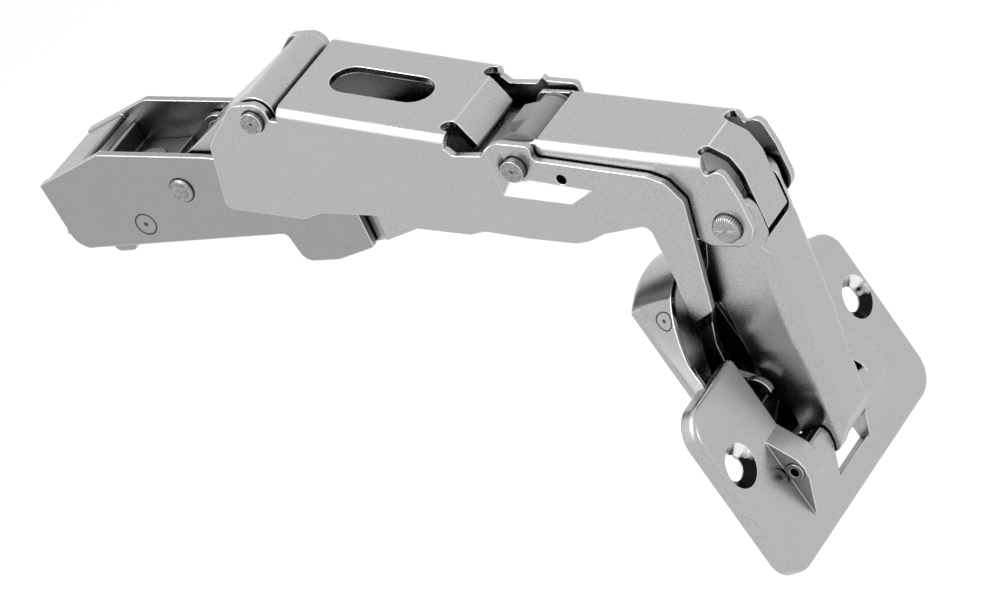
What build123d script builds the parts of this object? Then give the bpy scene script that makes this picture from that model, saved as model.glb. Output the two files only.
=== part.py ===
"""Concealed cup hinge with a wide opening angle, drawn in its open position.

Millimetres. The levers and the arm are drawn in a side view whose x runs along the
arm's bottom edge from its rear tip towards the cup, and whose z points up.
The cup is drawn directly in the shared frame: X out of the door's face, Y along the
pivot pins, Z along the door's face towards its edge.
"""
import os
from math import atan2, cos, degrees, hypot, radians, sin

from build123d import *

os.makedirs("parts", exist_ok=True)

# Where the side view lies in the shared frame
ARM_SLOPE = 15.0
SCREW_LINE = (119.14, -38.96)

# Pivot centres in the side view (x, z)
LINK_PIVOT = (27.3, 9.6)
REAR_EAR = (48.5, 22.4)
LEVER_PIVOT = (46.8, 1.7)
CENTRE = (91.6, 9.5)
FRONT = (123.5, -5.0)

# Pivot centres of the cup in the shared frame (x, z)
OUTER_CUP = (1.6, -7.5)
INNER_CUP = (-5.0, 2.0)

# Sheets
SHEET = 1.2
SIDE_GAP = 0.35

# Half widths across the hinge
ARM_HALF = 8.6
OUTER_HALF = 10.8
FRONT_STEP = 1.4
OUTER_FRONT_HALF = OUTER_HALF - FRONT_STEP
INNER_HALF = OUTER_FRONT_HALF - SHEET - SIDE_GAP
CUP_LINK_HALF = INNER_HALF - SHEET - SIDE_GAP
PIN_FIT = 0.05
DIMPLE = 0.6


def outline(*corners):
    """Flat face through corners (a, b, radius), each corner rounded by its radius."""
    points = [Vector(a, b) for a, b, _ in corners]
    ends = []
    edges = []
    for i, (_, _, radius) in enumerate(corners):
        corner = points[i]
        back = (points[i - 1] - corner).normalized()
        ahead = (points[(i + 1) % len(points)] - corner).normalized()
        if radius == 0:
            ends.append((corner, corner))
            continue
        half = radians(back.get_angle(ahead)) / 2
        reach = radius * cos(half) / sin(half)
        start = corner + back * reach
        finish = corner + ahead * reach
        inward = (back + ahead).normalized()
        middle = corner + inward * (radius / sin(half) - radius)
        ends.append((start, finish))
        edges.append(ThreePointArc(start, middle, finish))
    for i, (start, _) in enumerate(ends):
        previous = ends[i - 1][1]
        if (start - previous).length > 1e-4:
            edges.append(Line(previous, start))
    return make_face(edges)


def slab(face, y_low, y_high):
    """Side view face as a slab between two places across the hinge."""
    return extrude(Plane.XZ.offset(-y_high) * face, y_high - y_low)


def rod(centre, radius, y_low, y_high):
    """Round bar across the hinge."""
    x, z = centre
    return slab(Pos(x, z) * Circle(radius), y_low, y_high)


def bar(start, end, half_width, depth, fold):
    """Bar under the line start-end, both long top edges rounded by fold."""
    length = hypot(end[0] - start[0], end[1] - start[1])
    slope = -degrees(atan2(end[1] - start[1], end[0] - start[0]))
    block = Box(length, 2 * half_width, depth, align=(Align.MIN, Align.CENTER, Align.MAX))
    block = fillet(block.edges().filter_by(Axis.X).group_by(Axis.Z)[-1], fold)
    return Location((start[0], 0, start[1]), (0, slope, 0)) * block


def channel(start, end, half_width, depth, fold, sheet=SHEET):
    """Folded channel open downwards, its top's outer face on the line start-end."""
    slope = atan2(end[1] - start[1], end[0] - start[0])
    down = (sin(slope) * sheet, -cos(slope) * sheet)
    inner_start = (start[0] + down[0], start[1] + down[1])
    inner_end = (end[0] + down[0], end[1] + down[1])
    outside = bar(start, end, half_width, depth, fold)
    return outside - bar(inner_start, inner_end, half_width - sheet, depth, fold - sheet)


def both(shape):
    """The shape and its mirror image across the hinge's middle plane."""
    return shape + mirror(shape, about=Plane.XZ)


def race(*run):
    """Face of the ground covered by a disc: (radius, centre, centre, ...)."""
    radius, *centres = run
    face = None
    for (x1, z1), (x2, z2) in zip(centres, centres[1:]):
        length = hypot(x2 - x1, z2 - z1)
        turn = degrees(atan2(z2 - z1, x2 - x1))
        leg = Location(((x1 + x2) / 2, (z1 + z2) / 2, 0), (0, 0, turn)) * SlotCenterToCenter(length, 2 * radius)
        face = leg if face is None else face + leg
    return face


def rivet(centre, radius, half_length, head_radius, head, reach):
    """Pin with a flat riveted head at both ends, reach is the outside of the carrying ears."""
    shank = rod(centre, radius, -half_length, half_length)
    cap = rod(centre, head_radius, -reach - head, -reach)
    cap = chamfer(cap.edges().group_by(Axis.Y)[0], min(0.3, 0.6 * head))
    return shank + both(cap)


def close_coil(centre, coil_radius, wire_radius, turns):
    """Closely wound coil across the hinge, each turn an eight-sided ring against the next."""
    pitch = 2 * wire_radius * cos(radians(22.5))
    section = None
    for turn in range(turns):
        wire = Pos(coil_radius, (turn - (turns - 1) / 2) * pitch) * Rot(0, 0, 22.5) * RegularPolygon(wire_radius, 8)
        section = wire if section is None else section + wire
    coil = revolve(Plane.XZ * section, Axis.Z)
    return Pos(centre[0], 0, centre[1]) * Rot(90, 0, 0) * coil


def arm_view(point):
    """Point (x, z) of the shared frame as it lies in the side view."""
    x, z = point
    turn = radians(ARM_SLOPE)
    return (SCREW_LINE[0] + x * cos(turn) - z * sin(turn), SCREW_LINE[1] + x * sin(turn) + z * cos(turn))


def in_place(shape):
    """Side view shape turned and moved into the shared frame."""
    return Rot(0, ARM_SLOPE, 0) * Pos(-SCREW_LINE[0], 0, -SCREW_LINE[1]) * shape


nodes = {}

# Arm: two cheeks joined by the sloping rear plate
arm_inner = ARM_HALF - SHEET
arm_outline = outline(
    (0.0, 12.5, 0.4), (1.9, 1.4, 3.0), (3.9, 0.0, 1.5), (43.4, 0.0, 1.2), (44.8, -5.4, 2.2),
    (51.2, -5.5, 6.0), (58.7, -3.7, 0.6), (58.2, 8.5, 3.0), (45.5, 12.9, 3.0), (34.2, 15.2, 20.0),
    (13.7, 17.3, 1.5))
cheek = slab(arm_outline, -ARM_HALF, -arm_inner)
cheek -= rod(LINK_PIVOT, 1.5, -ARM_HALF - 1, 0)
cheek -= rod(LEVER_PIVOT, 1.5, -arm_inner - DIMPLE, 0)
rear_plate = slab(
    outline((0.35, 12.3, 0.3), (8.4, 15.1, 0.4), (8.8, 13.95, 0.4), (0.6, 11.05, 0.3)),
    -arm_inner, arm_inner)
nodes["arm_channel"] = in_place(both(cheek) + rear_plate)

# Insert between the cheeks: floor, upturned rear edge and two short cheeks
insert_half = arm_inner - 0.08
insert_rear = 9.4
insert_front = 20.3
floor_top = 9.8
insert_side = slab(
    outline((insert_rear, floor_top, 0), (insert_front, floor_top, 0), (insert_front, 5.2, 1.5),
            (insert_rear + 3.4, 5.2, 1.5), (insert_rear, 7.6, 0.5)),
    -insert_half, -insert_half + SHEET)
insert_floor = slab(
    outline((insert_rear, floor_top - SHEET, 0.3), (insert_rear, 13.4, 0.4),
            (insert_rear + SHEET, 13.4, 0.4), (insert_rear + SHEET, floor_top, 0.4),
            (insert_front, floor_top, 0.2), (insert_front, floor_top - SHEET, 0.2)),
    -insert_half, insert_half)
screw_x = 15.9
screw_shank = 2.4
insert = both(insert_side) + insert_floor
insert -= Pos(screw_x, 0, floor_top) * Cylinder(screw_shank + PIN_FIT, 4)
nodes["arm_insert"] = in_place(insert)

# Adjusting screw standing in the insert's floor, cross recess on top
screw_head = 3.4
head_height = 0.9
screw = Pos(screw_x, 0, floor_top + PIN_FIT) * Cylinder(
    screw_head, head_height, align=(Align.CENTER, Align.CENTER, Align.MIN))
screw = chamfer(screw.edges().group_by(Axis.Z)[-1], 0.3)
screw += Pos(screw_x, 0, floor_top + 0.5) * Cylinder(
    screw_shank, SHEET + 3.0, align=(Align.CENTER, Align.CENTER, Align.MAX))
screw_top = floor_top + PIN_FIT + head_height
for turn in (0, 90):
    screw -= Pos(screw_x, 0, screw_top) * Rot(0, 0, 45 + turn) * Box(4.4, 0.9, 1.4)
nodes["adjusting_screw"] = in_place(screw)

# Release lever in the arm's tail with its cross pin and its spring
RELEASE = (10.2, 3.6)
release_half = insert_half - SHEET - 0.4
release_side = slab(
    outline((-1.5, 1.0, 0.5), (-1.0, 3.2, 0.5), (4.4, 4.6, 2.0), (7.6, 7.6, 1.5), (13.0, 7.4, 2.0),
            (13.0, 1.0, 2.0), (10.6, -2.8, 1.2), (6.7, -2.8, 1.2), (6.4, -0.2, 1.0), (3.2, 0.8, 1.5)),
    -release_half, -release_half + 1.0)
release_tongue = slab(
    outline((-1.5, 1.0, 0.5), (-1.0, 3.2, 0.5), (2.6, 4.1, 0), (2.9, 0.85, 0)),
    -release_half, release_half)
release = both(release_side) + release_tongue
release -= rod(RELEASE, 1.2 + PIN_FIT, -release_half - 1, release_half + 1)
nodes["release_lever"] = in_place(release)
nodes["release_pin"] = in_place(rod(RELEASE, 1.2, -arm_inner - DIMPLE, arm_inner + DIMPLE))
nodes["arm_channel"] -= nodes["release_pin"]

nodes["release_spring"] = in_place(close_coil(RELEASE, 2.05, 0.45, 5))

# Rear link: channel with round eyes, its upper end rolled round the rear pin
link_half = arm_inner - 0.5
link_slope = atan2(REAR_EAR[1] - LINK_PIVOT[1], REAR_EAR[0] - LINK_PIVOT[0])
link_length = hypot(REAR_EAR[0] - LINK_PIVOT[0], REAR_EAR[1] - LINK_PIVOT[1])
eye = 3.5
rear_pin = 1.9
rear_head = 0.9
# The link's lower eye has room for the pin to wander over the folding motion
link_run = ((0.0, 0.0), (0.37, 1.05), (0.95, 1.5), (1.05, 1.1), (0.1, -0.15), (-1.6, -1.18))
run_room = 0.35
run_wall = 1.1
barrel_half = OUTER_HALF - SHEET - 0.3
link_side = slab(
    outline((-1.0, -3.2, 1.0), (6.0, -3.2, 4.0), (link_length, -2.2, 0), (link_length, eye, 0), (-1.0, eye, 1.0)),
    -link_half, -link_half + SHEET)
link_side += slab(race(1.5 + run_room + run_wall, *link_run), -link_half, -link_half + SHEET)
link_web = slab(
    outline((7.0, eye, 0), (link_length, eye, 0), (link_length, eye - SHEET, 0), (7.0, eye - SHEET, 0.4)),
    -link_half, link_half)
link = both(link_side) + link_web + rod((link_length, 0), eye, -barrel_half, barrel_half)
link -= rod((link_length, 0), rear_pin + PIN_FIT, -barrel_half - 1, barrel_half + 1)
link -= slab(race(1.5 + run_room, *link_run), -link_half - 1, link_half + 1)
link = Pos(LINK_PIVOT[0], 0, LINK_PIVOT[1]) * Rot(0, -degrees(link_slope), 0) * link
nodes["rear_link"] = in_place(link)

# Outer lever: wide rear channel, narrower front cheeks, nose arms running into the cup
outer_inner = OUTER_HALF - SHEET
front_inner = OUTER_FRONT_HALF - SHEET
top_rear = (53.3, 24.1)
top_front = (81.6, 16.7)
outer_outline = outline(
    (45.3, 25.4, 2.2), (51.2, 25.4, 2.6), (51.6, 22.2, 0.3), (81.3, 14.4, 0.5), (82.2, 13.2, 0.8),
    (87.3, 12.7, 1.0), (88.8, 14.1, 1.0), (95.3, 12.9, 0.9), (95.1, 10.3, 0.9), (113.8, 5.9, 3.0),
    (116.6, 4.4, 2.0), (118.6, 0.8, 1.5), (117.3, -7.8, 6.0), (115.6, -19.1, 0.3), (111.1, -21.4, 0.3),
    (111.5, -13.0, 6.0), (110.8, -2.8, 1.6), (97.9, -4.3, 5.0), (90.0, -2.8, 0.6), (82.2, -0.9, 3.0),
    (79.4, -1.3, 3.0), (68.3, 0.9, 3.0), (64.2, 3.4, 2.0), (53.5, 4.7, 2.0), (49.9, 3.8, 2.0),
    (36.2, 6.9, 1.3), (38.3, 18.6, 1.5))
pad_low = make_face(Polyline(
    (30, -8), (30, 30), (89.8, 30), (90.1, 7.8), (103.4, 4.2), (101.8, -8), close=True))
pad_high = make_face(Polyline(
    (30, -8), (30, 30), (88.3, 30), (88.3, 5.3), (99.9, 2.9), (100.4, -8), close=True))
pad = loft([Plane.XZ.offset(OUTER_FRONT_HALF) * pad_low, Plane.XZ.offset(OUTER_HALF) * pad_high],
           ruled=True)
lump = pad + slab(outline((30, -30, 0), (125, -30, 0), (125, 30, 0), (30, 30, 0)), -OUTER_FRONT_HALF, -4)
skin = lump - Pos(0, SHEET, 0) * lump
outer_cheek = skin & slab(outer_outline, -OUTER_HALF - 1, -6)
top_strip = slab(
    outline((52.7, 20.6, 0), (53.35, 25.2, 0), (81.9, 17.6, 0), (81.0, 13.2, 0)), -12, 12)
outer_top = channel(top_rear, (top_front[0] + 0.1, top_front[1]), OUTER_HALF, 8, 1.9) & top_strip
flap = slab(
    outline((80.3, 17.0, 0), (81.9, 16.6, 1.3), (84.2, 11.8, 0.3), (83.0, 11.3, 0.3),
            (80.9, 15.6, 0.3), (80.0, 15.8, 0)),
    -6.3, 6.3)
outer = both(outer_cheek) + outer_top + flap
slot_half = 3.6
slot_centres = ((61.3, 22.0), (71.6, 19.3))
slot_turn = -degrees(atan2(top_front[1] - top_rear[1], top_front[0] - top_rear[0]))
slot_length = hypot(slot_centres[1][0] - slot_centres[0][0], slot_centres[1][1] - slot_centres[0][1])
slot = extrude(SlotCenterToCenter(slot_length, 2 * slot_half), 4, both=True)
slot_middle = ((slot_centres[0][0] + slot_centres[1][0]) / 2, (slot_centres[0][1] + slot_centres[1][1]) / 2)
outer -= Location((slot_middle[0], 0, slot_middle[1]), (0, slot_turn, 0)) * slot
for side in (-1, 1):
    outer -= Location((81.4, side * 7.7, 16.6), (0, slot_turn, 0)) * Cylinder(1.35, 6)

# Nose arms: bent inwards below the nose, ending in open eyes round the inner cup pin
arm_outer_y = CUP_LINK_HALF + 0.6 + SHEET
arm_inner_y = arm_outer_y - SHEET
nose_end = ((111.1, -21.4), (115.6, -19.1))
arm_top = ((111.0, -23.4), (113.9, -21.9))


def quad(ends, y_low, y_high):
    """Four-sided section between two side view points and two places across the hinge."""
    (x1, z1), (x2, z2) = ends
    return make_face(Polyline((x1, y_low, z1), (x2, y_low, z2), (x2, y_high, z2), (x1, y_high, z1), close=True))


bend = loft([quad(nose_end, -OUTER_FRONT_HALF, -front_inner), quad(arm_top, -arm_outer_y, -arm_inner_y)],
            ruled=True)
cup_eye_room = 0.35
cup_eye_wall = 0.75
inner_cup = arm_view(INNER_CUP)
arm_run = [(inner_cup[0] + dx, inner_cup[1] + dz)
           for dx, dz in ((0.0, 0.0), (-1.2, -0.1), (-2.7, -0.6), (-3.2, -1.3), (-2.5, -1.6), (-0.8, -0.9), (0.3, -0.1), (2.7, 2.7))]
nose_arm = outline(
    (110.9, -23.3, 0.2), (113.9, -21.7, 0.2), (112.9, -26.0, 2.0), (113.3, -33.5, 1.0), (115.0, -36.0, 0),
    (110.5, -37.5, 0), (109.4, -34.5, 3.0))
nose_arm += race(1.5 + cup_eye_room + cup_eye_wall, *arm_run)
nose_arm -= race(1.5 + cup_eye_room, *arm_run)
nose_arm -= Pos(inner_cup[0] + 2.0, inner_cup[1]) * Rectangle(20, 5.6, align=(Align.MIN, Align.CENTER))
outer += both(bend + slab(nose_arm, -arm_outer_y, -arm_inner_y))
for centre, radius in ((REAR_EAR, rear_pin), (CENTRE, 1.9), ((98.8, 6.6), 0.9)):
    outer -= rod(centre, radius, -OUTER_HALF - 1, OUTER_HALF + 1)
nodes["outer_lever"] = in_place(outer)

# Inner lever: channel between the outer lever's cheeks, ears at both ends, strap over the front pivot
inner_outline = outline(
    (42.4, 6.1, 4.0), (42.4, -2.6, 4.0), (50.0, -3.5, 8.0), (59.5, -3.5, 5.0), (69.4, -0.9, 6.0),
    (78.6, -0.4, 1.0), (79.6, -1.9, 0.5), (81.8, -1.9, 0.5), (83.5, 0.2, 1.0), (100.0, -1.0, 6.0),
    (113.0, -3.2, 6.0), (119.2, -8.2, 3.0), (127.9, -9.2, 3.6), (127.2, 0.0, 6.0), (126.0, 5.1, 1.4),
    (122.9, 4.2, 0.5), (122.6, 8.2, 0.1), (95.9, 14.4, 0.6), (95.0, 12.3, 0.8), (88.9, 12.9, 1.5),
    (86.8, 9.4, 4.0), (62.0, 12.2, 6.0))
inner_u = channel((30.0, 26.35), (140.0, 3.47), INNER_HALF, 45, 2.0)
inner_sides = inner_u & slab(inner_outline, -10, 10)
inner_rear_half = arm_inner - 0.35
rear_region = slab(outline((30, -12, 0), (61.0, -12, 0), (61.0, 30, 0), (30, 30, 0)), -10, 10)
rear_ears = both(slab(inner_outline, -inner_rear_half, -inner_rear_half + SHEET)) & rear_region
step = both(slab(inner_outline, -INNER_HALF, -inner_rear_half + SHEET)) & slab(
    outline((61.0, -12, 0), (62.6, -12, 0), (62.6, 30, 0), (61.0, 30, 0)), -10, 10)
inner_web = slab(
    outline((62.0, 9.0, 0.3), (79.5, 8.0, 0.3), (79.5, 6.8, 0.3), (62.0, 7.8, 0.3)),
    -INNER_HALF + 0.6, INNER_HALF - 0.6)
inner_web_gap = slab(
    outline((80.0, 8.0, 0), (95.6, 8.0, 0), (95.6, 16.0, 0), (80.0, 16.0, 0)), -INNER_HALF + SHEET, INNER_HALF - SHEET)
strap = slab(
    outline((119.0, 7.83, 0), (122.6, 7.0, 1.6), (125.6, 4.8, 2.4), (126.8, 1.6, 3.0), (127.3, -8.6, 0.3),
            (126.1, -8.6, 0.3), (125.6, 1.2, 2.0), (124.6, 3.9, 1.6), (122.2, 5.75, 1.0), (118.8, 6.6, 0)),
    -3.5, 3.5)
inner = (inner_sides - rear_region - inner_web_gap) + rear_ears + step + inner_web + strap
for centre, radius in ((LEVER_PIVOT, 1.5 + PIN_FIT), (CENTRE, 1.9 + PIN_FIT), (FRONT, 1.6)):
    inner -= rod(centre, radius, -12, 12)
for side in (-1, 1):
    inner -= Location((123.0, side * 4.9, 6.9), (0, 12, 0)) * Cylinder(1.4, 6)
nodes["inner_lever"] = in_place(inner)

# Cup link: barrel-sided channel between the front pivot and the outer cup pin
cup_eye = arm_view(OUTER_CUP)
TENT_INNER = 5.75
cup_link_low = TENT_INNER - SIDE_GAP
link_face = 127.4
cup_link_outline = outline(
    (119.6, -1.2, 3.6), (127.2, -1.0, 3.8), (127.4, -9.0, 2.0), (126.3, -10.4, 0.3), (127.4, -13.0, 1.0),
    (127.4, -44.6, 1.4), (125.2, -49.2, 3.0), (119.6, -49.0, 3.1), (119.5, -40.2, 2.0),
    (110.4, -33.6, 1.5), (108.8, -31.0, 3.0), (109.6, -21.5, 3.0), (116.0, -12.5, 6.0))


def link_section(z, half, face_x, corner):
    """Cross-section of the cup link at one height."""
    section = outline((100, -half, 0), (face_x, -half, corner), (face_x, half, corner), (100, half, 0))
    return Pos(0, 0, z) * section


def link_lump(inset):
    """Barrel of the cup link, or its hollow when inset by the sheet."""
    upper = CUP_LINK_HALF - inset
    lower = cup_link_low - inset
    corner = 2.6 - inset
    parts = (
        (2.0, -29.0, upper, upper),
        (-29.0, -37.5, upper, lower),
        (-37.5, -52.0, lower, lower))
    lump = None
    for z_high, z_low, wide_high, wide_low in parts:
        piece = loft([link_section(z_high, wide_high, link_face - inset, corner),
                      link_section(z_low, wide_low, link_face - inset, corner)], ruled=True)
        lump = piece if lump is None else lump + piece
    return lump


cup_link = (link_lump(0) - link_lump(SHEET)) & slab(cup_link_outline, -10, 10)
cup_link -= slab(
    outline((100, -60, 0), (118, -60, 0), (118, 10, 0), (100, 10, 0)), -3, 3)
triangle = outline(
    (113.0, -19.6, 0.8), (115.9, -19.4, 0.9), (117.1, -35.6, 1.0), (110.6, -32.1, 1.0))
cup_link -= slab(triangle, -12, 12)
cup_link -= slab(outline((119.0, 3.0, 0), (140.0, 3.0, 0), (140.0, -10.2, 0), (122.6, -10.2, 1.0)), -4.0, 4.0)
cup_link -= rod(FRONT, 1.6 + PIN_FIT, -10, 10)
cup_link -= rod(cup_eye, 1.5 + PIN_FIT, -10, 10)
nodes["cup_link"] = in_place(cup_link)

# Closing spring coiled round the outer cup pin, its two legs lying inside the cup link
closing_coil = 2.3
closing_wire = 0.5
closing_turns = 7
closing_leg = 9.0
closing_end = (closing_turns - 1) * closing_wire * cos(radians(22.5))
closing_spring = close_coil(cup_eye, closing_coil, closing_wire, closing_turns)
for side in (-1, 1):
    closing_spring += Pos(cup_eye[0] + closing_coil, side * closing_end, cup_eye[1]) * Cylinder(
        closing_wire, closing_leg, align=(Align.CENTER, Align.CENTER, Align.MIN))
nodes["closing_spring"] = in_place(closing_spring)

# Pins and sleeves of the linkage
nodes["rear_link_pin"] = in_place(rivet(LINK_PIVOT, 1.5, ARM_HALF, 2.1, 0.6, ARM_HALF))
nodes["inner_lever_pin"] = in_place(rod(LEVER_PIVOT, 1.5, -arm_inner - DIMPLE, arm_inner + DIMPLE))
nodes["rear_ear_pin"] = in_place(rod(REAR_EAR, rear_pin, -OUTER_HALF - rear_head, OUTER_HALF + rear_head))
nodes["centre_pin"] = in_place(rod(CENTRE, 1.9, -OUTER_FRONT_HALF - 1.5, OUTER_FRONT_HALF + 1.5))
nodes["front_pin"] = in_place(rivet(FRONT, 1.6, INNER_HALF, 2.3, 1.3, INNER_HALF))
sleeve_half = INNER_HALF - SHEET - 0.2
sleeve_radius = 3.3
sleeve = rod(CENTRE, sleeve_radius, -sleeve_half, sleeve_half)
flare = Cone(4.3, sleeve_radius, 2.2, align=(Align.CENTER, Align.CENTER, Align.MIN))
sleeve += Pos(CENTRE[0], -sleeve_half, CENTRE[1]) * Rot(-90, 0, 0) * flare
fin = slab(outline((86.3, 10.6, 0.4), (87.2, 12.2, 0.6), (91.0, 12.7, 0), (91.0, 8.6, 0)), -0.4, 4.4)
sleeve += fin
groove = rod(CENTRE, 5, sleeve_half - 0.9, sleeve_half - 0.4) - rod(CENTRE, 2.8, -10, 10)
sleeve -= groove
sleeve -= rod(CENTRE, 1.9 + PIN_FIT, -10, 10)
nodes["centre_sleeve"] = in_place(sleeve)

# Cup pot: round bowl with two slanted side faces
POT_RADIUS = 17.5
pot_z = 9.5
pot_floor = -13.2
facet_angle = 36.0
facet_half = 16.9
floor_fold = 1.5
flange_sheet = 1.8
pot_wall = 1.0


def bowl(inset):
    """Round bowl with slanted sides, solid, inset by the wall's thickness."""
    body = Pos(pot_floor + inset, 0, pot_z) * Rot(0, 90, 0) * Cylinder(
        POT_RADIUS - inset, 20, align=(Align.CENTER, Align.CENTER, Align.MIN))
    body = fillet(body.edges().group_by(Axis.X)[0], floor_fold - inset)
    for side in (-1, 1):
        cut = Location((-2.5, side * (facet_half - inset), 0), (0, 0, side * facet_angle)) * Box(
            60, 20, 80, align=(Align.CENTER, Align.MIN if side > 0 else Align.MAX, Align.CENTER))
        body -= cut & Pos(-22.5, 0, 0) * Box(40, 80, 80)
    return body


pot = bowl(0) - bowl(pot_wall)
pot &= Pos(-20 - flange_sheet, 0, 0) * Box(40, 60, 80)
pot -= Pos(-2.5, 0, 12.0) * Box(20, 60, 40, align=(Align.MIN, Align.CENTER, Align.MIN))
pot -= Pos(-5.2, 0, -10.5) * Box(10, 2 * TENT_INNER, 6, align=(Align.MIN, Align.CENTER, Align.MIN))
pot -= Pos(-4.6, 0, -7.0) * Box(10, 2 * 9.0, 3, align=(Align.MIN, Align.CENTER, Align.MIN))

# Flange plate with turned-down rim, countersunk holes, mouth and raised bearings
flange_half = 27.2
flange_low = -20.0
flange_high = 12.0
rim_depth = 2.8


def plate_face(inset):
    """Flange outline inset from its edge."""
    return outline(
        (flange_low + inset, -flange_half + inset, 5.0 - inset),
        (flange_low + inset, flange_half - inset, 5.0 - inset),
        (flange_high - inset, flange_half - inset, 5.0 - inset),
        (flange_high - inset, -flange_half + inset, 5.0 - inset))


facing = Plane(origin=(0, 0, 0), x_dir=(0, 0, 1), z_dir=(1, 0, 0))
flange = extrude(facing * plate_face(0), -rim_depth)
flange = fillet(flange.edges().group_by(Axis.X)[-1], 1.0)
flange -= Pos(-flange_sheet, 0, 0) * extrude(facing * plate_face(1.6), -rim_depth)
tent_face = outline(
    (-1.0, -1.0, 0), (0.0, -1.0, 0), (3.2, -5.6, 1.0), (3.55, -7.5, 1.2), (3.2, -9.4, 1.0), (0.0, -16.0, 0), (-1.0, -16.0, 0))
flat_tent = outline(
    (-1.0, -5.95, 0), (3.1, -5.95, 0.8), (3.55, -7.5, 1.2), (3.2, -9.4, 1.0), (0.0, -16.0, 0), (-1.0, -16.0, 0))
tents = slab(tent_face, -15.0, -10.3) + slab(flat_tent, -10.3, -TENT_INNER)
flange += both(tents)
mouth_half = 10.3
mouth_end = -5.95
window_end = -15.3
flange -= Pos(-5, 0, mouth_end) * Box(10, 2 * mouth_half, 40, align=(Align.MIN, Align.CENTER, Align.MIN))
flange -= Pos(-5, 0, window_end) * Box(10, 2 * TENT_INNER, 40, align=(Align.MIN, Align.CENTER, Align.MIN))
hole_radius = 2.1
sink_radius = 3.55
screw_spacing = 45.0
for side in (-1, 1):
    hole = Rot(0, 90, 0) * Cylinder(hole_radius, 20)
    sink = Pos(-0.75, 0, 0) * Rot(0, 90, 0) * Cone(hole_radius, sink_radius, sink_radius - hole_radius)
    flange -= Pos(0, side * screw_spacing / 2, 0) * (hole + sink)
flange -= Pos(-flange_sheet, 0, pot_z) * Rot(0, 90, 0) * Cylinder(
    POT_RADIUS + 0.1, 5, align=(Align.CENTER, Align.CENTER, Align.MAX))
flange -= rod(OUTER_CUP, 1.5, -20, 20)
inner_pin_half = 14.3
pot -= rod(INNER_CUP, 1.5, -inner_pin_half, inner_pin_half)
nodes["cup_pot"] = pot
nodes["cup_flange"] = flange
nodes["cup_outer_pin"] = rod(OUTER_CUP, 1.5, -15.3, 15.3) - rod(OUTER_CUP, 0.8, -16, 16)
nodes["cup_inner_pin"] = rod(INNER_CUP, 1.5, -inner_pin_half, inner_pin_half)

for name, shape in nodes.items():
    export_step(shape, f"parts/{name}.step")
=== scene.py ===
import math

import bmesh
import bpy
from mathutils import Matrix, Vector


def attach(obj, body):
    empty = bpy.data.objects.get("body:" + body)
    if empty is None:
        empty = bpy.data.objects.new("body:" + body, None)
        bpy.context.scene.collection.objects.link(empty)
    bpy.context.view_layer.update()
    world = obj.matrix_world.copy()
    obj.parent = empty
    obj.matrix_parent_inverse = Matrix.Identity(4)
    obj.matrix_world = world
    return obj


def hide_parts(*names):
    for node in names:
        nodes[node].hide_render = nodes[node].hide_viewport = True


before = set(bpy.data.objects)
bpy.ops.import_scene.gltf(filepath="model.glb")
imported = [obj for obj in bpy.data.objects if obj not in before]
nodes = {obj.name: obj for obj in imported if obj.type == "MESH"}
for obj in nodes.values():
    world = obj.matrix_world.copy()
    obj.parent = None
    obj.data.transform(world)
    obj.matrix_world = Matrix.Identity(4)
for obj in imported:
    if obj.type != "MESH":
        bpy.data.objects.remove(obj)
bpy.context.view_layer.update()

# Levers and links: pressed from steel strip and plated with bright nickel. The plating follows
# the strip's fine rolled skin, so flats look satin with a fine speckle. The cut edges and folds
# get a painted highlight: their colour is raised towards near white.
MM = 0.001


def linear(colour):
    """sRGB hex colour as linear red, green, blue, alpha."""
    parts = [int(colour[i:i + 2], 16) / 255 for i in (1, 3, 5)]
    return [p / 12.92 if p <= 0.04045 else ((p + 0.055) / 1.055) ** 2.4 for p in parts] + [1.0]


def add_node(tree, kind, settings=None, links=None):
    """Add one node, set its properties and sockets, and link its inputs."""
    node = tree.nodes.new(kind)
    for key, value in (settings or {}).items():
        if isinstance(key, int) or key in node.inputs:
            node.inputs[key].default_value = value
        else:
            setattr(node, key, value)
    for key, (source, socket) in (links or {}).items():
        tree.links.new(source.outputs[socket], node.inputs[key])
    return node


def new_material(name):
    """Empty node material and its tree."""
    material = bpy.data.materials.new(name)
    material.use_nodes = True
    material.node_tree.nodes.clear()
    return material, material.node_tree


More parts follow.
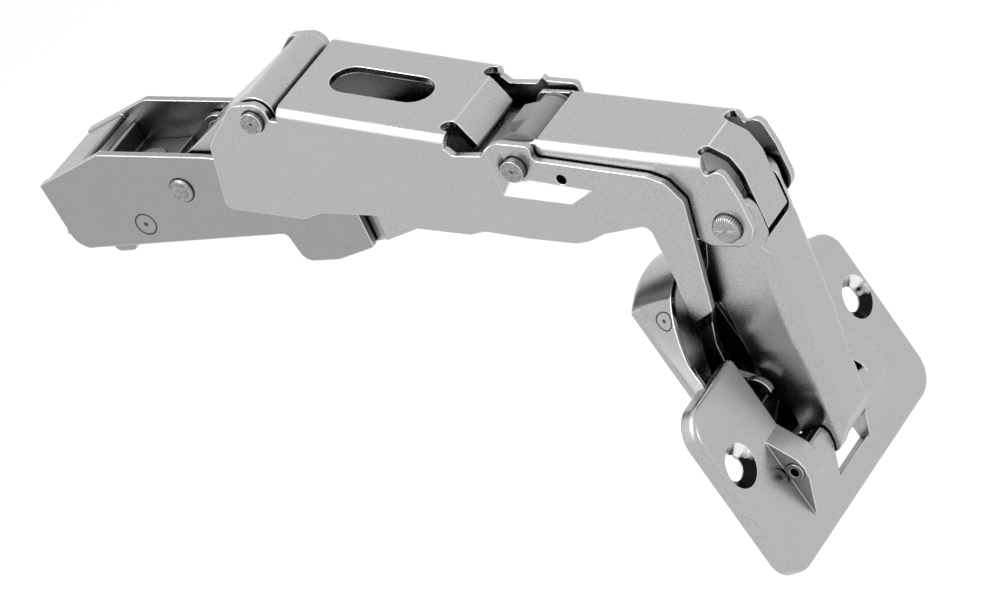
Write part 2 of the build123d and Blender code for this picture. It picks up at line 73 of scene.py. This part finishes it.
def plated_steel(name, tone, dark_tone, roughness, grain_mm, grain_depth, edge_mm, dark_at=0.26):
    """Plated metal with speckled grain, a painted highlight on edges and folds, and painted shade.

    Recesses mirror little but the metal round them, so painted shade darkens their colour. It is
    darkest where dark_at or less of the surroundings, within SHELTER_REACH, is open.
    """
    material, tree = new_material(name)
    place = add_node(tree, "ShaderNodeTexCoord")
    grain = add_node(tree, "ShaderNodeTexNoise",
                     {"Scale": 1 / (grain_mm * MM), "Detail": 3.0, "Roughness": 0.6},
                     {"Vector": (place, "Object")})
    cloud = add_node(tree, "ShaderNodeTexNoise", {"Scale": 1 / (CLOUD_MM * MM), "Detail": 2.0},
                     {"Vector": (place, "Object")})
    edge = add_node(tree, "ShaderNodeBevel", {"samples": 8, "Radius": edge_mm * MM})
    wave = add_node(tree, "ShaderNodeBump", {"Strength": 0.12, "Distance": 0.2 * MM},
                    {"Height": (cloud, "Fac"), "Normal": (edge, "Normal")})
    bump = add_node(tree, "ShaderNodeBump", {"Strength": grain_depth, "Distance": 0.04 * MM},
                    {"Height": (grain, "Fac"), "Normal": (wave, "Normal")})
    speck = add_node(tree, "ShaderNodeMapRange", {"From Min": 0.35, "From Max": 0.65},
                     {"Value": (grain, "Fac")})
    sheet = add_node(tree, "ShaderNodeMix",
                     {"data_type": "RGBA", 6: linear(dark_tone), 7: linear(tone)},
                     {"Factor": (speck, "Result")})
    # Painted highlight: where the bevelled normal turns away from the face's own, at edges and folds, the
    # colour goes towards near white.
    surface = add_node(tree, "ShaderNodeNewGeometry")
    bend = add_node(tree, "ShaderNodeVectorMath", {"operation": "DOT_PRODUCT"},
                    {0: (edge, "Normal"), 1: (surface, "Normal")})
    edge_highlight_mask = add_node(tree, "ShaderNodeMapRange", {"From Min": 0.985, "From Max": 0.86},
                      {"Value": (bend, "Value")})
    bright = add_node(tree, "ShaderNodeMix", {"data_type": "RGBA", 7: linear("#f4f4f3")},
                      {"Factor": (edge_highlight_mask, "Result"), 6: (sheet, 2)})
    # Painted shade: where little of the surroundings is open, in recesses, the colour goes towards near
    # black.
    shelter = add_node(tree, "ShaderNodeAmbientOcclusion",
                       {"samples": 10, "Distance": SHELTER_REACH * MM})
    recess_shade_mask = add_node(tree, "ShaderNodeMapRange",
                      {"From Min": dark_at, "From Max": 0.68, "To Min": 0.95, "To Max": 0.0},
                      {"Value": (shelter, "AO")})
    colour = add_node(tree, "ShaderNodeMix", {"data_type": "RGBA", 7: linear("#1c1c1c")},
                      {"Factor": (recess_shade_mask, "Result"), 6: (bright, 2)})
    sheen = add_node(tree, "ShaderNodeMapRange",
                     {"From Min": 0.3, "From Max": 0.7, "To Min": roughness - 0.05,
                      "To Max": roughness + 0.05},
                     {"Value": (cloud, "Fac")})
    metal = add_node(tree, "ShaderNodeBsdfPrincipled", {"Metallic": 1.0},
                     {"Roughness": (sheen, "Result"), "Normal": (bump, "Normal"),
                      "Base Color": (colour, 2)})
    add_node(tree, "ShaderNodeOutputMaterial", None, {"Surface": (metal, "BSDF")})
    return material


def finish_nodes(material, names):
    """Give the material to every slot of these CAD nodes."""
    for name in names:
        for slot in nodes[name].material_slots:
            slot.material = material


CLOUD_MM = 7.0
SHELTER_REACH = 16.0
# The grain is drawn at 0.22 mm, coarser than the real skin, so that it shows.
nickel_sheet = plated_steel("nickel_plated_sheet_steel", "#c0c0c0", "#adadad", 0.25, 0.22, 0.45, 0.35)
finish_nodes(nickel_sheet, ["rear_link", "outer_lever", "inner_lever", "cup_link", "cup_flange"])

# Arm: the channel that holds the hinge to its mounting plate, with its insert and the release
# lever, pressed from plated strip like the levers. Its colour is painted a shade darker than
# theirs, as painted shade, since it faces away from the light.
shaded_arm_steel = plated_steel("nickel_plated_arm_steel", "#a8a8a7", "#969695", 0.27, 0.22, 0.45, 0.35, 0.06)
finish_nodes(shaded_arm_steel, ["arm_channel", "arm_insert", "release_lever"])

# Ring stamp on the arm: a shallow round mark with a plain centre dot, struck into the cheek by
# the press tool. It is drawn as flat rings just proud of the cheek, duller than the sheet and
# coloured dark as painted shade of the groove.
groove_shade_steel = plated_steel("stamped_groove_in_nickel", "#5e5e5d", "#474746", 0.45, 0.22, 0.3, 0.02)
ARM_SLOPE = math.radians(15)
SCREW_LINE = Vector((0.11914, 0, -0.03896))
ARM_HALF = 8.6
MARK_PROUD = 0.012
RING_STEPS = 48


def arm_point(x, y, z):
    """Point of the arm's side view, in millimetres, in the row frame."""
    turn = Matrix.Rotation(ARM_SLOPE, 3, "Y")
    return turn @ (Vector((x, y, z)) * MM - SCREW_LINE)


def flat_rings(name, pivot, half, rings, body):
    """Thin flat rings (inner and outer radius), or discs, just proud of a near side face."""
    mesh = bmesh.new()
    for inner, outer in rings:
        for i in range(RING_STEPS):
            start = 2 * math.pi * i / RING_STEPS
            end = 2 * math.pi * (i + 1) / RING_STEPS
            corners = [(outer, start), (outer, end), (inner, end), (inner, start)]
            if not inner:
                corners = corners[:3]
            mesh.faces.new([mesh.verts.new((r * math.cos(t) * MM, r * math.sin(t) * MM, 0))
                            for r, t in corners])
    bmesh.ops.remove_doubles(mesh, verts=mesh.verts, dist=1e-7)
    data = bpy.data.meshes.new(name)
    mesh.to_mesh(data)
    mesh.free()
    data.materials.append(groove_shade_steel)
    mark = bpy.data.objects.new(name, data)
    mark.rotation_euler = Vector((0, -1, 0)).to_track_quat("Z", "Y").to_euler()
    mark.location = arm_point(pivot[0], -half - MARK_PROUD, pivot[1])
    bpy.context.scene.collection.objects.link(mark)
    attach(mark, body)


flat_rings("arm_ring_stamp", (17.3, 3.7), ARM_HALF, [(1.75, 2.05), (0, 0.4)], "arm")

# Pins: turned steel rod, nickel plated. Their ends are spun over, which leaves a mottled face,
# a small centre dimple and a parting line round the head. The dimple and the parting line are
# flat discs and rings coloured dark as painted shade.
pin_steel = plated_steel("nickel_plated_pin_steel", "#adadac", "#80807f", 0.33, 0.5, 0.9, 0.25)
finish_nodes(pin_steel, ["rear_link_pin", "inner_lever_pin", "release_pin", "rear_ear_pin",
                         "centre_pin", "cup_outer_pin", "cup_inner_pin"])
REAR_LINK_PIVOT = (27.3, 9.6)
REAR_EAR_PIVOT = (48.5, 22.4)
CENTRE_PIVOT = (91.6, 9.5)
FRONT_PIVOT = (123.5, -5.0)
OUTER_HALF = 10.8
OUTER_FRONT_HALF = 9.4
INNER_EAR_HALF = 7.85
REAR_EAR_PIN_END = 11.7
CENTRE_PIN_END = 10.9
PARTING_WIDTH = 0.22
DIMPLE_RADIUS = 0.28
for name, pivot, half, radius, body in (("rear_link", REAR_LINK_PIVOT, ARM_HALF, 2.12, "arm"),
                                        ("rear_ear", REAR_EAR_PIVOT, OUTER_HALF, 1.92, "outer_lever"),
                                        ("centre", CENTRE_PIVOT, OUTER_FRONT_HALF, 1.92, "outer_lever"),
                                        ("front", FRONT_PIVOT, INNER_EAR_HALF, 2.32, "inner_lever")):
    flat_rings(name + "_parting_line", pivot, half, [(radius, radius + PARTING_WIDTH)], body)
for name, pivot, half in (("rear_ear", REAR_EAR_PIVOT, REAR_EAR_PIN_END),
                          ("centre", CENTRE_PIVOT, CENTRE_PIN_END)):
    flat_rings(name + "_centre_dimple", pivot, half, [(0, DIMPLE_RADIUS)], "outer_lever")

# Front pin: turned steel like the others. Its head is spread by a star-shaped punch, which
# leaves fine spokes all round. They are bumped, and coloured alternately light and dark as a
# painted highlight and shade.
SPOKES = 34
spoked_steel, tree = new_material("star_punched_pin_steel")
place = add_node(tree, "ShaderNodeTexCoord")
centred = add_node(tree, "ShaderNodeMapping",
                   {"vector_type": "TEXTURE", "Location": arm_point(FRONT_PIVOT[0], 0, FRONT_PIVOT[1]),
                    "Rotation": (math.pi / 2, 0, 0)},
                   {"Vector": (place, "Object")})
around = add_node(tree, "ShaderNodeTexGradient", {"gradient_type": "RADIAL"},
                  {"Vector": (centred, "Vector")})
turns = add_node(tree, "ShaderNodeMath", {"operation": "MULTIPLY", 1: 2 * math.pi * SPOKES},
                 {0: (around, "Fac")})
spokes = add_node(tree, "ShaderNodeMath", {"operation": "SINE"}, {0: (turns, "Value")})
dents = add_node(tree, "ShaderNodeTexNoise", {"Scale": 1 / (0.7 * MM), "Detail": 2.0},
                 {"Vector": (place, "Object")})
edge = add_node(tree, "ShaderNodeBevel", {"samples": 6, "Radius": 0.3 * MM})
dented = add_node(tree, "ShaderNodeBump", {"Strength": 0.7, "Distance": 0.08 * MM},
                  {"Height": (dents, "Fac"), "Normal": (edge, "Normal")})
spoked = add_node(tree, "ShaderNodeBump", {"Strength": 0.8, "Distance": 0.03 * MM},
                  {"Height": (spokes, "Value"), "Normal": (dented, "Normal")})
# Painted highlight and shade: the colour alternates light and dark with the spokes.
shade = add_node(tree, "ShaderNodeMapRange", {"From Min": -1.0, "From Max": 1.0},
                 {"Value": (spokes, "Value")})
tone = add_node(tree, "ShaderNodeMix",
                {"data_type": "RGBA", 6: linear("#8a8a89"), 7: linear("#c4c4c3")},
                {"Factor": (shade, "Result")})
metal = add_node(tree, "ShaderNodeBsdfPrincipled", {"Metallic": 1.0, "Roughness": 0.3},
                 {"Base Color": (tone, 2), "Normal": (spoked, "Normal")})
add_node(tree, "ShaderNodeOutputMaterial", None, {"Surface": (metal, "BSDF")})
finish_nodes(spoked_steel, ["front_pin"])

# Adjusting screw: steel, cold headed and plated, a little darker than the sheet. It turns in
# the arm's insert.
screw_steel = plated_steel("plated_screw_steel", "#b4b4b2", "#989896", 0.30, 0.3, 0.4, 0.15)
finish_nodes(screw_steel, ["adjusting_screw"])

# Springs: hard drawn wire, wound, heat treated and left dark, with a thin film of oil that
# gives it a low sheen.
spring_wire = plated_steel("dark_oiled_spring_wire", "#4a4a4b", "#303031", 0.28, 0.2, 0.3, 0.1)
finish_nodes(spring_wire, ["release_spring", "closing_spring"])

# Sleeve on the centre pin: injection moulded acetal, slipped over the pin. It is an even grey
# with a soft matt skin, and its edges are slightly rounded.
sleeve_plastic, tree = new_material("grey_moulded_acetal")
place = add_node(tree, "ShaderNodeTexCoord")
skin = add_node(tree, "ShaderNodeTexNoise", {"Scale": 1 / (0.3 * MM), "Detail": 2.0},
                {"Vector": (place, "Object")})
soft_edge = add_node(tree, "ShaderNodeBevel", {"samples": 6, "Radius": 0.3 * MM})
skin_bump = add_node(tree, "ShaderNodeBump", {"Strength": 0.1, "Distance": 0.02 * MM},
                     {"Height": (skin, "Fac"), "Normal": (soft_edge, "Normal")})
plastic = add_node(tree, "ShaderNodeBsdfPrincipled",
                   {"Base Color": linear("#8a8a8a"), "Roughness": 0.42},
                   {"Normal": (skin_bump, "Normal")})
add_node(tree, "ShaderNodeOutputMaterial", None, {"Surface": (plastic, "BSDF")})
finish_nodes(sleeve_plastic, ["centre_sleeve"])

# Cup pot: deep drawn from strip in one piece. Its mouth is a full circle, and its long sides
# run in to a narrower floor, so they are smooth and flat-looking where the ends stay round.
# Drawing burnishes the wall, which gives it a brighter sheen than the flange.
POT_RADIUS = 17.5
POT_Z = 9.5
FLOOR_X = -13.2
FLOOR_HALF = 9.1
FLOOR_FOLD = 1.5
WALL = 1.0
RIM_UNDER_FLANGE = -1.82
RIM_OPEN = -3.9
OPEN_FROM_Z = 12.0
OPEN_BLEND = 4.0
NOTCH_BELOW_Z = -5.4
RIM_NOTCH = -5.2
POT_STEPS = 180
WALL_ROWS = 12
FOLD_ROWS = 8


def pot_point(angle, x, inset, closing=0.0):
    """Point of the pot's wall: narrowed towards the floor, closing runs in over the floor."""
    radius = (POT_RADIUS - inset) * (1 - closing)
    half = (FLOOR_HALF - inset) * (1 - closing)
    y = radius * math.sin(angle)
    depth = (RIM_UNDER_FLANGE - x) / (RIM_UNDER_FLANGE - FLOOR_X - FLOOR_FOLD)
    y += (max(-half, min(half, y)) - y) * min(1.0, max(0.0, depth))
    return Vector((x, y, POT_Z + radius * math.cos(angle))) * MM


def rim_x(angle):
    """Height of the pot's edge: tucked under the flange, lower at its open end and notch."""
    z = POT_Z + POT_RADIUS * math.cos(angle)
    if z < NOTCH_BELOW_Z:
        return RIM_NOTCH
    part = min(1.0, max(0.0, (z - OPEN_FROM_Z) / OPEN_BLEND))
    return RIM_UNDER_FLANGE + (RIM_OPEN - RIM_UNDER_FLANGE) * part * part * (3 - 2 * part)


def pot_rows(inset):
    """Rows of points round the pot, from its edge down to the middle of the floor."""
    angles = [2 * math.pi * i / POT_STEPS for i in range(POT_STEPS)]
    fold_top = FLOOR_X + FLOOR_FOLD
    fold = FLOOR_FOLD - inset
    rows = []
    for step in range(WALL_ROWS + 1):
        rows.append([pot_point(a, rim_x(a) + (fold_top - rim_x(a)) * step / WALL_ROWS, inset)
                     for a in angles])
    for step in range(1, FOLD_ROWS + 1):
        bend = math.pi / 2 * step / FOLD_ROWS
        closing = fold * (1 - math.cos(bend)) / (POT_RADIUS - inset)
        rows.append([pot_point(a, fold_top - fold * math.sin(bend), inset, closing) for a in angles])
    for closing in (0.2, 0.4, 0.6, 0.8, 0.98):
        rows.append([pot_point(a, FLOOR_X + inset, inset, closing) for a in angles])
    return rows


pot_mesh = bmesh.new()
grid = [[pot_mesh.verts.new(point) for point in row] for row in pot_rows(WALL)[::-1] + pot_rows(0.0)]
for upper, lower in zip(grid, grid[1:]):
    for i in range(POT_STEPS):
        j = (i + 1) % POT_STEPS
        pot_mesh.faces.new((upper[i], upper[j], lower[j], lower[i]))
pot_mesh.faces.new(grid[0][::-1])
pot_mesh.faces.new(grid[-1])
bmesh.ops.recalc_face_normals(pot_mesh, faces=pot_mesh.faces)
for face in pot_mesh.faces:
    face.smooth = True
pot_data = bpy.data.meshes.new("drawn_cup_pot")
pot_mesh.to_mesh(pot_data)
pot_mesh.free()
pot_data.set_sharp_from_angle(angle=math.radians(35))
drawn_nickel = plated_steel("drawn_nickel_plated_cup_steel", "#bababa", "#a9a9a9", 0.17, 0.3, 0.3, 0.35, 0.14)
pot_data.materials.append(drawn_nickel)
drawn_pot = bpy.data.objects.new("drawn_cup_pot", pot_data)
bpy.context.scene.collection.objects.link(drawn_pot)
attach(drawn_pot, "cup")
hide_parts("cup_pot")
finish_nodes(drawn_nickel, ["cup_pot"])

# Ring stamp on the pot: struck into the wall near its open end, with a plain centre dot. It
# follows the wall's curve and is drawn like the arm's stamp, as flat dull rings coloured dark
# as painted shade of the groove.
STAMP_ANGLE = math.radians(-44.9)
STAMP_X = -6.2
STAMP_PROUD = 0.02
pot_stamp = bmesh.new()
for inner, outer in ((1.7, 2.0), (0.05, 0.4)):
    for i in range(RING_STEPS):
        corners = []
        for radius, step in ((outer, i), (outer, i + 1), (inner, i + 1), (inner, i)):
            turn = 2 * math.pi * step / RING_STEPS
            angle = STAMP_ANGLE + radius * math.cos(turn) / POT_RADIUS
            x = STAMP_X + radius * math.sin(turn)
            corners.append(pot_stamp.verts.new(pot_point(angle, x, -STAMP_PROUD)))
        pot_stamp.faces.new(corners)
bmesh.ops.remove_doubles(pot_stamp, verts=pot_stamp.verts, dist=1e-7)
stamp_data = bpy.data.meshes.new("pot_ring_stamp")
pot_stamp.to_mesh(stamp_data)
pot_stamp.free()
stamp_data.materials.append(groove_shade_steel)
stamp = bpy.data.objects.new("pot_ring_stamp", stamp_data)
bpy.context.scene.collection.objects.link(stamp)
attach(stamp, "cup")

# Flange plate: pressed, plated, and countersunk from the top for its two screws. The solid keeps
# a thin skin over each cone, so a copy of it is drilled again here. The cones are smooth cut
# steel; their low side is painted dark and their high side bright, a painted reflection of
# shade and light, with a wavy border drawn as turning marks.
SCREW_HALF_SPACING = 22.5
SINK_RADIUS = 3.55
SINK_BOTTOM = -1.475
OVERCUT = 0.07
DRILL_BELOW = 0.12
DRILL_ABOVE = 0.5
DRILL_STEPS = 64
countersink_painted_light, tree = new_material("machined_countersink_steel")
place = add_node(tree, "ShaderNodeTexCoord")
stretched = add_node(tree, "ShaderNodeMapping", {"Scale": (0.3, 1.0, 1.0)},
                     {"Vector": (place, "Object")})
streaks = add_node(tree, "ShaderNodeTexNoise", {"Scale": 1 / (1.4 * MM), "Detail": 2.0},
                   {"Vector": (stretched, "Vector")})
height = add_node(tree, "ShaderNodeSeparateXYZ", None, {"Vector": (place, "Object")})
ripple = add_node(tree, "ShaderNodeMapRange",
                  {"From Min": 0.3, "From Max": 0.7, "To Min": -1.2 * MM, "To Max": 1.2 * MM},
                  {"Value": (streaks, "Fac")})
side = add_node(tree, "ShaderNodeMath", {"operation": "ADD"},
                {0: (height, "Z"), 1: (ripple, "Result")})
# Painted reflection: the colour goes from near black on the low side of each cone to near white on the high
# side.
lit = add_node(tree, "ShaderNodeMapRange", {"From Min": -0.8 * MM, "From Max": 1.0 * MM},
               {"Value": (side, "Value")})
tone = add_node(tree, "ShaderNodeMix",
                {"data_type": "RGBA", 6: linear("#1a1a1a"), 7: linear("#f0f0f0")},
                {"Factor": (lit, "Result")})
metal = add_node(tree, "ShaderNodeBsdfPrincipled", {"Metallic": 1.0, "Roughness": 0.16},
                 {"Base Color": (tone, 2)})
add_node(tree, "ShaderNodeOutputMaterial", None, {"Surface": (metal, "BSDF")})


def drill(y):
    """Cutter for one countersink, a little wider than the solid's cone and above the plate."""
    cone = bmesh.new()
    ends = []
    for x in (SINK_BOTTOM - DRILL_BELOW, DRILL_ABOVE):
        radius = SINK_RADIUS + x + OVERCUT
        turns = [2 * math.pi * i / DRILL_STEPS for i in range(DRILL_STEPS)]
        ends.append([cone.verts.new(Vector((x, y + radius * math.sin(t), radius * math.cos(t))) * MM)
                     for t in turns])
    for i in range(DRILL_STEPS):
        j = (i + 1) % DRILL_STEPS
        cone.faces.new((ends[0][i], ends[0][j], ends[1][j], ends[1][i]))
    cone.faces.new(ends[0][::-1])
    cone.faces.new(ends[1])
    bmesh.ops.recalc_face_normals(cone, faces=cone.faces)
    data = bpy.data.meshes.new("drill")
    cone.to_mesh(data)
    cone.free()
    cutter = bpy.data.objects.new("drill", data)
    bpy.context.scene.collection.objects.link(cutter)
    return cutter


flange_mesh = bmesh.new()
flange_mesh.from_mesh(nodes["cup_flange"].data)
flange_mesh.transform(nodes["cup_flange"].matrix_world)
bmesh.ops.remove_doubles(flange_mesh, verts=flange_mesh.verts, dist=2e-7)
flange_data = bpy.data.meshes.new("countersunk_flange")
flange_mesh.to_mesh(flange_data)
flange_mesh.free()
shading = ("custom_normal", "sharp_face", "sharp_edge")
for carried in [a for a in flange_data.attributes if a.name in shading]:
    flange_data.attributes.remove(carried)
plate = bpy.data.objects.new("countersunk_flange", flange_data)
bpy.context.scene.collection.objects.link(plate)
for y in (-SCREW_HALF_SPACING, SCREW_HALF_SPACING):
    cutter = drill(y)
    cut = plate.modifiers.new("countersink", "BOOLEAN")
    cut.operation = "DIFFERENCE"
    cut.solver = "EXACT"
    cut.object = cutter
    shaped = plate.evaluated_get(bpy.context.evaluated_depsgraph_get())
    drilled = bpy.data.meshes.new_from_object(shaped)
    plate.modifiers.clear()
    plate.data = drilled
    bpy.data.objects.remove(cutter)
plate.data.materials.clear()
plate.data.materials.append(nickel_sheet)
plate.data.materials.append(countersink_painted_light)
for face in plate.data.polygons:
    x, y, z = face.center / MM
    from_axis = math.hypot(abs(y) - SCREW_HALF_SPACING, z)
    on_cone = from_axis < SINK_RADIUS + OVERCUT and x < -0.001 and face.normal.x > 0.5
    square = max(abs(part) for part in face.normal) > 0.999
    small = face.area < 2 * MM * MM
    face.material_index = int(on_cone)
    face.use_smooth = on_cone or (small and not square)
plate.data.set_sharp_from_angle(angle=math.radians(28))
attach(plate, "cup")
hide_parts("cup_flange")

# Studio: a pale matt floor well below the hinge and a white surround, which the metal mirrors.
# Large soft lamps stand where folds, edges and the ledge catch them and flat faces don't.
FLOOR_LEVEL = -0.075
FLOOR_REACH = 4
floor_corners = [(x * FLOOR_REACH, y * FLOOR_REACH, FLOOR_LEVEL)
                 for x, y in ((-1, -1), (1, -1), (1, 1), (-1, 1))]
floor_data = bpy.data.meshes.new("studio_floor")
floor_data.from_pydata(floor_corners, [], [(0, 1, 2, 3)])
floor = bpy.data.objects.new("studio_floor", floor_data)
bpy.context.scene.collection.objects.link(floor)


def mirrored(tree, path):
    """One for rays that come off a mirror or through glass, else zero."""
    return add_node(tree, "ShaderNodeMath", {"operation": "MAXIMUM"},
                    {0: (path, "Is Glossy Ray"), 1: (path, "Is Transmission Ray")})


pale, tree = new_material("pale_studio_floor")
path = add_node(tree, "ShaderNodeLightPath")
matt = add_node(tree, "ShaderNodeBsdfPrincipled", {"Base Color": linear("#f2f2f2"), "Roughness": 0.9})
glow = add_node(tree, "ShaderNodeEmission", {"Color": linear("#ffffff"), "Strength": 0.35})
both = add_node(tree, "ShaderNodeAddShader", None, {0: (matt, "BSDF"), 1: (glow, "Emission")})
seen = add_node(tree, "ShaderNodeMixShader", None,
                {0: (path, "Is Camera Ray"), 1: (matt, "BSDF"), 2: (both, "Shader")})
plain_white = add_node(tree, "ShaderNodeEmission", {"Color": linear("#ffffff"), "Strength": 1.0})
choose = add_node(tree, "ShaderNodeMixShader", None,
                  {0: (mirrored(tree, path), "Value"), 1: (seen, "Shader"),
                   2: (plain_white, "Emission")})
add_node(tree, "ShaderNodeOutputMaterial", None, {"Surface": (choose, "Shader")})
floor_data.materials.append(pale)

world = bpy.data.worlds.new("studio_surround")
bpy.context.scene.world = world
world.use_nodes = True
sky = world.node_tree
sky.nodes.clear()
soft = add_node(sky, "ShaderNodeBackground", {"Color": linear("#ffffff"), "Strength": 0.65})
white = add_node(sky, "ShaderNodeBackground", {"Color": linear("#ffffff"), "Strength": 1.0})
path = add_node(sky, "ShaderNodeLightPath")
shown = add_node(sky, "ShaderNodeMath", {"operation": "MAXIMUM"},
                 {0: (path, "Is Camera Ray"), 1: (mirrored(sky, path), "Value")})
pick = add_node(sky, "ShaderNodeMixShader", None,
                {0: (shown, "Value"), 1: (soft, "Background"), 2: (white, "Background")})
add_node(sky, "ShaderNodeOutputWorld", None, {"Surface": (pick, "Shader")})


def soft_lamp(name, direction, distance, size, watts):
    """Large square lamp aimed at the middle of the hinge."""
    data = bpy.data.lights.new(name, "AREA")
    data.size = size
    data.energy = watts
    lamp = bpy.data.objects.new(name, data)
    aim = Vector(direction).normalized()
    lamp.location = HINGE_MIDDLE + aim * distance
    lamp.rotation_euler = aim.to_track_quat("Z", "Y").to_euler()
    bpy.context.scene.collection.objects.link(lamp)


HINGE_MIDDLE = Vector((-0.045, 0, 0.02))
soft_lamp("fold_softbox", (0.0, -0.5, 0.87), 0.6, 0.5, 1.8)
soft_lamp("ledge_softbox", (-0.2, -0.83, 0.5), 0.6, 0.26, 0.3)
soft_lamp("cup_side_softbox", (1.0, -0.1, -0.02), 0.9, 0.3, 0.8)

# Camera: placed and turned as the photograph's, found by fitting the hinge's outlines, with a
# long lens, so that the far side looks hardly smaller than the near one.
camera_data = bpy.data.cameras.new("photo_camera")
camera_data.sensor_width = 36.0
camera_data.lens = 231.48
camera_data.clip_end = 20.0
camera = bpy.data.objects.new("photo_camera", camera_data)
camera.location = (0.62649, -0.70603, 0.32613)
camera.rotation_euler = [math.radians(turn) for turn in (69.4371, 34.0596, 31.5622)]
bpy.context.scene.collection.objects.link(camera)
bpy.context.scene.camera = camera
bpy.context.scene.view_settings.view_transform = "Standard"
